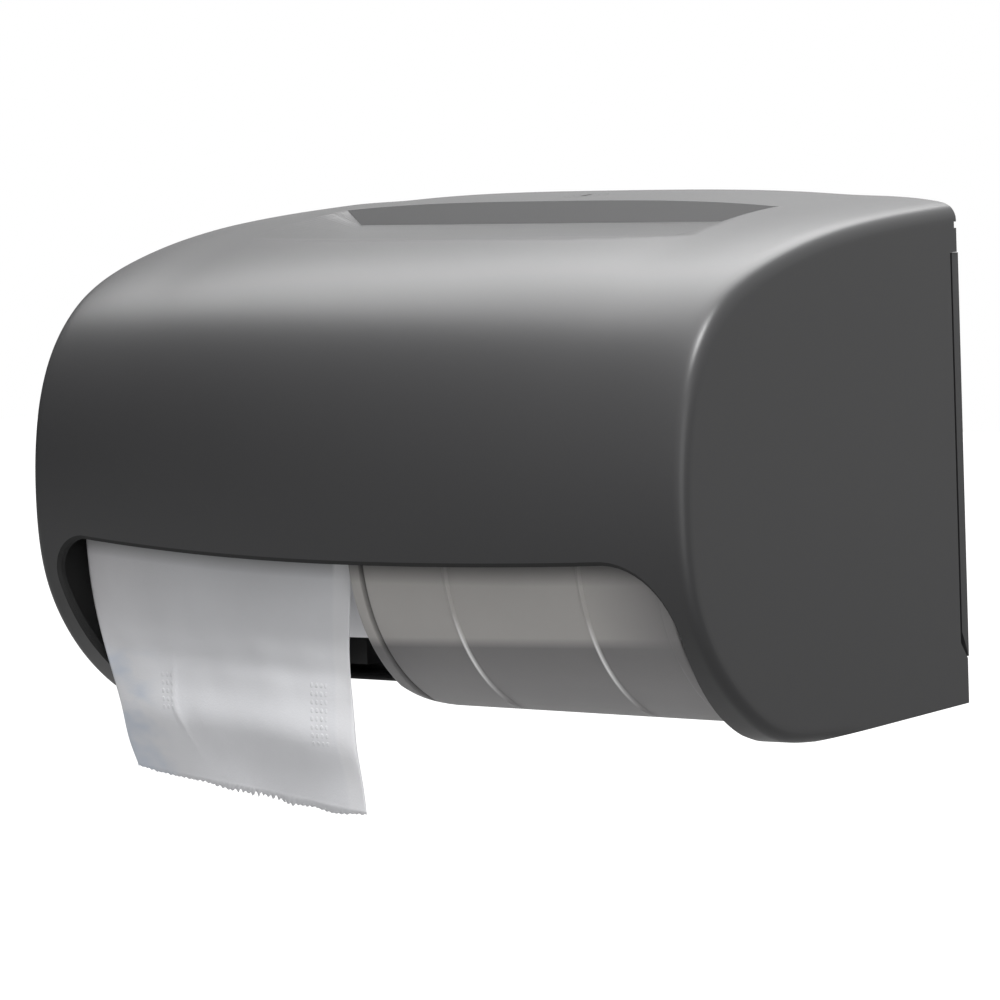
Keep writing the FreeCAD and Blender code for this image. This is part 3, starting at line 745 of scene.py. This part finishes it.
# Stations across the panel, as places and how far each is raised: rims, ribs and the plain between
stations = []
for side, edge, groove in ((1, shutter_left, shutter_groove), (-1, shutter_right, 0)):
    rim = [(0, 0.45), (0.15, 0.8), (0.4, 1), (1.2, 1), (2.1, 1), (3.0, 1), (shutter_rim - 0.6, 1),
           (shutter_rim - 0.2, 0.8), (shutter_rim, 0.2), (shutter_rim + 0.2, -groove),
           (shutter_rim + 0.9, -groove), (shutter_rim + 1.2, 0)]
    stations += [(edge + side * inside, raised) for inside, raised in rim]
for share in shutter_rib_shares:
    middle = shutter_left + share * shutter_width
    for step in range(-rib_steps, rib_steps + 1):
        swing = step / rib_steps
        stations.append((middle + swing * shutter_rib / 2, math.cos(swing * math.pi / 2)))
inside = shutter_rim + rim_clear
for x in np.linspace(shutter_left + inside, shutter_right - inside, plain_stations):
    if min(abs(x - place) for place, raised in stations) > station_gap:
        stations.append((float(x), 0))
stations.sort()

# The panel's side profile: the arc round the roll, the straight band above it, and the lip
profile = []
for step in range(arc_steps + 1):
    angle = math.radians(shutter_sweep * (step / arc_steps - 1))
    profile.append((shutter_front - shutter_radius, shutter_centre, math.cos(angle),
                    math.sin(angle), shutter_radius, min(step / raise_steps, 1)))
for height, raised in shutter_band:
    profile.append((shutter_front, height, 1, 0, 0, raised))
for forward, height in shutter_lip_line:
    profile.append((shutter_front + forward, height, 0, 0, 0, 0))


def shutter_spot(column, row):
    """A corner of the panel's outer face, whose lower left corner is rounded."""
    x, raised = stations[column]
    depth, height, outwards, upwards, radius, share = profile[row]
    inside = min(max(shutter_left + shutter_corner - x, 0), shutter_corner)
    cut = shutter_corner - math.sqrt(shutter_corner ** 2 - inside ** 2)
    if radius:
        angle = math.asin(-upwards) * (1 - cut / (radius * math.radians(shutter_sweep)))
        outwards, upwards = math.cos(angle), -math.sin(angle)
    reach = radius + raised * share * shutter_raise
    return at(x, depth + outwards * reach, height + upwards * reach)


shutter = bent_grid("shutter_panel", len(stations) - 1, len(profile) - 1, shutter_spot)
use(shutter, "SOLIDIFY", thickness=shutter_thick / 1000, offset=-1, use_even_offset=True,
    use_quality_normals=True)
smooth(shutter, 40)

# Painted light: the upper part is painted paler where the lit roll behind shows through, fading out
# to the right in the shade of the window's edge. A painted highlight runs along the ribs' crests,
# painted shade darkens the groove beside the left rim, and a painted shade lies under the window's
# top edge.
groove_shade_inset = shutter_rim + 0.5
crest_offset = 0.4
crest_width = 0.0007
crest_foot = (-0.070, -0.056)
crest_head = (-0.048, -0.038)
groove_shade_width = (0.0002, 0.0009)
glow_lean = 0.035
glow_edge = (-0.0515, -0.0481)
glow_end = (0.088, 0.118)
window_bend = 0.222
window_shade = (-0.0300, -0.0242)
frosted = Finish("frosted_plastic", (0.30, 0.295, 0.285), 0.42)
height = frosted.part(frosted.place(), 2)
across = frosted.part(frosted.place(), 0)
low = 1 - height.spread(-0.062, -0.05)
frosted.set("Alpha", frosted.noise(25, 2) * 0.04 + low * 0.12 + 0.86)
# Painted light: paler above, where the lit roll shows through, and less so to the right, in the
# window edge's shade.
glow = (height - across * glow_lean).spread(*glow_edge) * (1 - across.spread(*glow_end) * 0.85)
milk = frosted.blend(glow, (0.195, 0.19, 0.193), (0.46, 0.445, 0.43))
milk = frosted.blend(frosted.noise(40, 3) * 0.2, milk, (0.3, 0.29, 0.28))
# Painted highlight: a bright line along the lower part of each rib's crest.
painted_rib_highlight = 0.0
for share in shutter_rib_shares:
    crest = (shutter_left + share * shutter_width + crest_offset) / 1000
    painted_rib_highlight = (1 - across.away(crest).spread(0, crest_width)) + painted_rib_highlight
painted_rib_highlight = painted_rib_highlight * height.spread(*crest_foot) * (1 - height.spread(*crest_head))
# Painted shade: a dark line in the groove beside the left rim.
groove_shade = 1 - across.away((shutter_left + groove_shade_inset) / 1000).spread(*groove_shade_width)
milk = frosted.blend(groove_shade * 0.7, milk, (0.08, 0.08, 0.08))
# Painted shade under the window's top edge.
shade = (height - across * across * window_bend).spread(*window_shade)
milk = frosted.blend(shade * 0.75, milk, (0.04, 0.04, 0.04))
frosted.set("Base Color", frosted.blend(painted_rib_highlight, milk, (0.95, 0.95, 0.95)))
frosted.set("Roughness", frosted.noise(1800, 3) * 0.08 + 0.36)
frosted.bump(frosted.noise(2400, 3), 0.00002, 0.5)
dress(shutter, frosted)
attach(shutter, "shutter")
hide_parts("shutter")

# Rolls
# Two standard rolls of two ply tissue on cardboard cores. The wound edges show as a fine spiral,
# and the last sheet ends in a low step along the roll.
roll_radius = 60.0
roll_near = 7.0
roll_far = 121.0
roll_depth = 79.0
roll_height = 82.0
roll_bore = 21.3
roll_edge = 1.4
layer_pitch = 1.5
roll_turns = 144
roll_steps = 30
roll_face_steps = 80
roll_face_sink = 0.25
layer_step = 0.25
layer_ridge = 0.10
ridge_swing = 0.05
roll_wave = 0.12

# The rolls' tissue is a little greyer than the hanging sheet's paper: the paper's colour with some
# painted shade, as the rolls sit inside the cabinet.
tissue = Finish("tissue_paper", (0.70, 0.70, 0.72), 0.95)
fibre = tissue.noise(1500, 5)
tissue.set("Base Color", tissue.blend(tissue.noise(60, 3), (0.69, 0.69, 0.71), (0.73, 0.73, 0.745)))
tissue.bump(fibre, 0.00008, 0.7)


def roll_section():
    """Corners of the wound tissue's section: place across, radius, and on which face it lies."""
    width = roll_far - roll_near - 2 * roll_edge
    angles = [math.radians(degrees) for degrees in (30, 60)]
    rounds = [(roll_edge * (1 - math.sin(angle)), roll_radius - roll_edge * (1 - math.cos(angle)))
              for angle in angles]
    depth = roll_radius - roll_edge - roll_bore
    faces = [roll_radius - roll_edge - depth * step / roll_face_steps
             for step in range(roll_face_steps + 1)]
    corners = [(roll_near + roll_edge + width * step / roll_steps, roll_radius, 0)
               for step in range(roll_steps + 1)]
    corners += [(roll_far - inside, radius, 0) for inside, radius in rounds]
    corners += [(roll_far, radius, 1) for radius in faces]
    corners += [(roll_near, radius, -1) for radius in faces[::-1]]
    corners += [(roll_near + inside, radius, 0) for inside, radius in rounds[::-1]]
    return corners + corners[:1]


section = roll_section()


def roll_spot(side, column, row):
    """A corner of a roll: its faces carry the spiral, and its skin steps where the sheet ends."""
    x, radius, face = section[column]
    share = row % roll_turns / roll_turns
    angle = 2 * math.pi * share
    turns = radius / layer_pitch - share
    ridge = math.sin(2 * math.pi * turns) * (layer_ridge + ridge_swing * math.sin(radius * 0.9))
    ridge += roll_wave * math.sin(radius * 0.31 + side)
    x += face * (ridge - roll_face_sink)
    if not face:
        wave = roll_wave * (1 + math.sin(x * 0.13 + 2 * angle)) * math.sin(angle) ** 2
        radius -= layer_step * share + wave
    depth = roll_depth + radius * math.cos(angle)
    return at(side * x, depth, roll_height + radius * math.sin(angle))


for side, name in ((-1, "left"), (1, "right")):
    wound = bent_grid(name + "_roll_tissue", len(section) - 1, roll_turns,
                      lambda column, row: roll_spot(side, column, row))
    sealed(wound)
    smooth(wound, 50)
    dress(wound, tissue)
    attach(wound, name + "_roll")
    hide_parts(name + "_tissue_roll")

core_card = Finish("core_card", (0.42, 0.34, 0.25), 0.85)
strand = core_card.noise(900, 4, (0.15, 1, 1))
core_card.set("Base Color", core_card.blend(strand, (0.34, 0.27, 0.19), (0.50, 0.42, 0.31)))
core_card.bump(strand, 0.00006, 0.6)
for side in ("left", "right"):
    dress(nodes[side + "_core"], core_card)

# Hanging tissue
# The end of the left roll: two plies that leave the roll's front, fold a little as they hang and
# end in a torn, perforated edge. Its left edge swings back towards the wall.
sheet_columns = 152
sheet_rows = 132
sheet_wrap = 9.0
sheet_wrap_rows = 6
sheet_gap = 0.35
sheet_thick = 0.22
left_edge = smooth_line([
    (-roll_far, 139.5, 82), (-roll_far, 140.1, 69), (-roll_far, 139.6, 55.6),
    (-roll_far, 137.0, 36.2), (-119.6, 132.6, 17), (-118.2, 128.6, 1), (-118.8, 125.2, -9.8),
    (-118.0, 121.9, -18.9),
], sheet_rows)
right_edge = smooth_line([
    (-roll_near, 139.5, 82), (-roll_near, 139.3, 66), (-roll_near, 139.0, 51.2),
    (-roll_near, 140.0, 40.3), (-roll_near, 140.8, 29.9), (-roll_near, 141.1, 18.0),
    (-roll_near, 140.1, 5.7), (-roll_near, 138.9, -7.1), (-roll_near, 137.0, -16.9),
    (-roll_near, 135.6, -27.2),
], sheet_rows)

# The torn edge, as places across and heights, with its teeth
torn_edge = (
    (-119, -19.0), (-108.0, -20.6), (-96.1, -21.5), (-82.4, -22.3), (-74.6, -23.7), (-63.0, -24.3),
    (-51.5, -24.8), (-43.1, -26.8), (-32.6, -26.7), (-21.5, -28.2), (-7.0, -27.4),
)
teeth_per_mm = 0.42
tooth_down = 0.8
tooth_up = -0.3
tooth_wander = 0.35
ragged_least = 0.25
ragged_middle = -58
ragged_width = 16

# The folds grow over some way below the roll. A crease runs across the sheet with a belly under it,
# the sheet sways a little, and a thin line and fine ripples stand in its left part. Each fold is
# given as how far it stands out, its middle and its width. The belly's and the crease's middles are
# counted from the crease's height, and the line's from the line.
fold_start = roll_height - 4
fold_growth = 50
crease_height = 18.5
crease_sway = 1.5
crease_tilt = 1.6
belly = (2.6, -20, 10.0)
crease_valley = (1.4, 1, 4.2)
sway = 0.7
line_place = -88.9
line_lean = 0.35
line_ridge = (0.4, 0, 1.3)
line_ridge_run = (5, 14)
line_valley = (0.3, 6, 4.5)
line_valley_run = (4, 15)
ripple = 0.16
ripple_run = (28, 22)


def fold(position, middle, width):
    """A soft ridge of height 1 across this width."""
    return math.exp(-((position - middle) / width) ** 2)


def ridge(position, shape, base):
    """A fold of this shape: its size, its middle as counted from a base, and its width."""
    size, middle, width = shape
    return size * fold(position, base + middle, width)


def sheet_push(across, x, height):
    """How far the folds stand out from the hanging sheet."""
    middle = 4 * across * (1 - across)
    crease = crease_height + crease_sway * math.sin(across * 5.0) + crease_tilt * (1 - across)
    push = ridge(height, belly, crease) - ridge(height, crease_valley, crease)
    push *= middle ** 0.4
    push += sway * math.sin(across * 9.5 + height * 0.05) * middle
    line = line_place + line_lean * max(0, -height + 4)
    push += ridge(x, line_ridge, line) * fold(height, *line_ridge_run)
    push -= ridge(x, line_valley, line) * fold(height, *line_valley_run)
    return push + ripple * math.sin(x * 0.31 + height * 0.13) * fold(height, *ripple_run)


def sheet_spot(column, row):
    """A corner of the sheet. Its last rows lie on the roll, and its first row is torn."""
    across = column / sheet_columns
    if row > sheet_rows:
        wrapped = (row - sheet_rows) / sheet_wrap_rows
        angle = math.radians(sheet_wrap * wrapped)
        reach = roll_radius + sheet_gap * (1 - wrapped)
        depth = roll_depth + reach * math.cos(angle)
        left = Vector((-roll_far, depth, roll_height + reach * math.sin(angle)))
        right = Vector((-roll_near, left.y, left.z))
    else:
        left = Vector(left_edge[sheet_rows - row])
        right = Vector(right_edge[sheet_rows - row])
    x, depth, height = left.lerp(right, across)
    drop = max(0.0, min(1.0, (fold_start - height) / fold_growth))
    depth += sheet_push(across, x, height) * drop
    if row == 0:
        height = float(np.interp(x, *zip(*torn_edge)))
        ragged = ragged_least + (1 - ragged_least) * fold(x, ragged_middle, ragged_width)
        tooth = tooth_down if (x * teeth_per_mm) % 1 < 0.5 else tooth_up
        height -= ragged * (tooth + tooth_wander * math.sin(x * 1.9))
    return at(x, depth, height)


sheet = bent_grid("hanging_sheet", sheet_columns, sheet_rows + sheet_wrap_rows, sheet_spot)
use(sheet, "SOLIDIFY", thickness=sheet_thick / 1000, offset=0)
only(sheet)
bpy.ops.object.shade_smooth()

# White paper with fine fibre and crumple. Painted shade greys its upper left corner and the part
# below the window's top edge, a narrow painted shadow lies just under that edge, and painted bluish
# shade lies in patches at its lower left. A plain border runs along its right edge, and two columns
# of pressed dots stand low on it.
border_edge = (-0.0150, -0.0135)
paper_window_bend = 0.367
paper_shade = (-0.0300, -0.0242)
paper_shade_end = (-0.021, -0.016)
dot_across = 0.0021
dot_down = 0.0027
dot_fade = 0.002
dot_columns = ((-22.0, 4.2, -84.5, -62.0), (-91.5, 3.6, -76.0, -62.0))
sheet_paper = Finish("sheet_paper", (0.73, 0.735, 0.76), 0.95)
across = sheet_paper.part(sheet_paper.place(), 0)
height = sheet_paper.part(sheet_paper.place(), 2)
white = sheet_paper.blend(sheet_paper.noise(60, 3), (0.72, 0.725, 0.75), (0.755, 0.76, 0.785))
# Painted shade: the upper left corner is greyer.
corner = (1 - across.spread(-0.121, -0.075)) * height.spread(-0.062, -0.03)
white = sheet_paper.blend(corner * 0.45, white, (0.43, 0.41, 0.415))
# Painted shade from the cover's overhang, below the window's top edge.
under = height.spread(-0.062, -0.034) * across.spread(-0.119, -0.095)
under = under * (1 - across.spread(-0.045, -0.012))
white = sheet_paper.blend(under * 0.25, white, (0.33, 0.33, 0.34))
# Painted shade: bluish patches at the lower left.
blue_shade = (1 - across.spread(-0.106, -0.094)) * (1 - height.spread(-0.060, -0.052))
blue_shade = blue_shade * sheet_paper.noise(45, 2, (1, 1, 2.2)).spread(0.42, 0.6)
white = sheet_paper.blend(blue_shade * 0.6, white, (0.53, 0.59, 0.69))
# Painted shadow: a narrow dark band just under the window's top edge.
above = height - across * across * paper_window_bend
shade = above.spread(*paper_shade) * (1 - above.spread(*paper_shade_end))
white = sheet_paper.blend(shade * 0.6, white, (0.06, 0.06, 0.06))
border = across.spread(*border_edge)
white = sheet_paper.blend(border * 0.5, white, (0.80, 0.80, 0.815))
sheet_paper.set("Base Color", white)
fibre = sheet_paper.noise(1500, 5)
crumple = sheet_paper.noise(70, 4, (1, 1, 0.45))
dots = (across.wave(dot_across) * height.wave(dot_down)).spread(0.35, 0.6)
columns = 0.0
for column in dot_columns:
    middle, half, bottom, top = (value / 1000 for value in column)
    inside = 1 - across.away(middle).spread(half * 0.8, half)
    inside = inside * height.spread(bottom, bottom + dot_fade)
    columns = inside * (1 - height.spread(top - dot_fade, top)) + columns
pressed = dots * columns
sheet_paper.bump(fibre * 0.10 + crumple * 0.75 + pressed * 0.28 - border * 0.12, 0.0008, 0.75)
dress(sheet, sheet_paper)
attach(sheet, "root")
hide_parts("hanging_tissue")
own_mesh(sheet)

# Floor and light
# A pale floor far below the cabinet, a white surround for the lens and for reflections, and large
# soft lamps.
floor_drop = 0.5
floor_size = 12.0
sheen_run = (0.5, 2.2)
sheen_far = 0.28
sheen_near = 0.01
glass_share = 0.2
bpy.ops.object.select_all(action="DESELECT")
bpy.ops.mesh.primitive_plane_add(size=floor_size, location=(0, 0, -floor_drop))
floor = bpy.context.object
floor.name = "floor"
floor_paint = Finish("floor_paint", (0.3, 0.3, 0.3), 0.8)
sockets = {0: floor_paint.place()}
distance = floor_paint.node("ShaderNodeVectorMath", {"operation": "LENGTH"}, sockets, "Value")
sheen = distance.spread(*sheen_run) * sheen_far + sheen_near
glow = floor_paint.ray("Camera") + floor_paint.ray("Glossy") * sheen
glow = glow + floor_paint.ray("Transmission") * glass_share
floor_paint.set("Emission Color", floor_paint.blend(glow, (0, 0, 0), (1, 1, 1)))
floor_paint.set("Emission Strength", 1.0)
dress(floor, floor_paint)

# The surround is white for the lens. Reflections see it brighter to the right and above, and other
# rays see a share of it.
surround_share = 0.33
world = bpy.data.worlds.new("surround")
world.use_nodes = True
bpy.context.scene.world = world
surround = Board(world.node_tree)
direction = surround.node("ShaderNodeTexCoord", {}, {}, "Generated")
rightward = surround.part(direction, 0).spread(-0.79, -0.35)
upward = surround.part(direction, 2).spread(0.0, 0.8)
sideways = surround.part(direction, 0).spread(-0.1, 0.5)
glossy = surround.ray("Glossy") * (rightward * 1.3 + upward * 0.45 - sideways * 0.2 + 0.02)
plain = surround.ray("Camera") + surround.ray("Transmission")
other = 1 - surround.ray("Glossy") - plain
sky = surround.tree.nodes["Background"]
surround.feed(sky.inputs["Strength"], glossy + plain + other * surround_share)
surround.feed(sky.inputs["Color"], (1, 1, 1))


def soft_lamp(name, place, target, size, power):
    """A rectangular lamp of this size in metres and power in watts, turned to its target."""
    data = bpy.data.lights.new(name, "AREA")
    data.shape = "RECTANGLE"
    data.size, data.size_y = size
    data.energy = power
    lamp = bpy.data.objects.new(name, data)
    bpy.context.scene.collection.objects.link(lamp)
    lamp.location = place
    lamp.rotation_mode = "QUATERNION"
    lamp.rotation_quaternion = (Vector(target) - Vector(place)).to_track_quat("-Z", "Y")


soft_lamp("top_lamp", (-0.6, 0.45, 1.5), (0, -0.08, 0), (2.3, 1.4), 52)
soft_lamp("front_lamp", (0.5, -0.9, 1.75), (0, -0.1, 0), (0.5, 0.5), 43)
soft_lamp("side_lamp", (1.3, -1.3, 0.2), (0, -0.1, 0), (1.2, 1.2), 7)
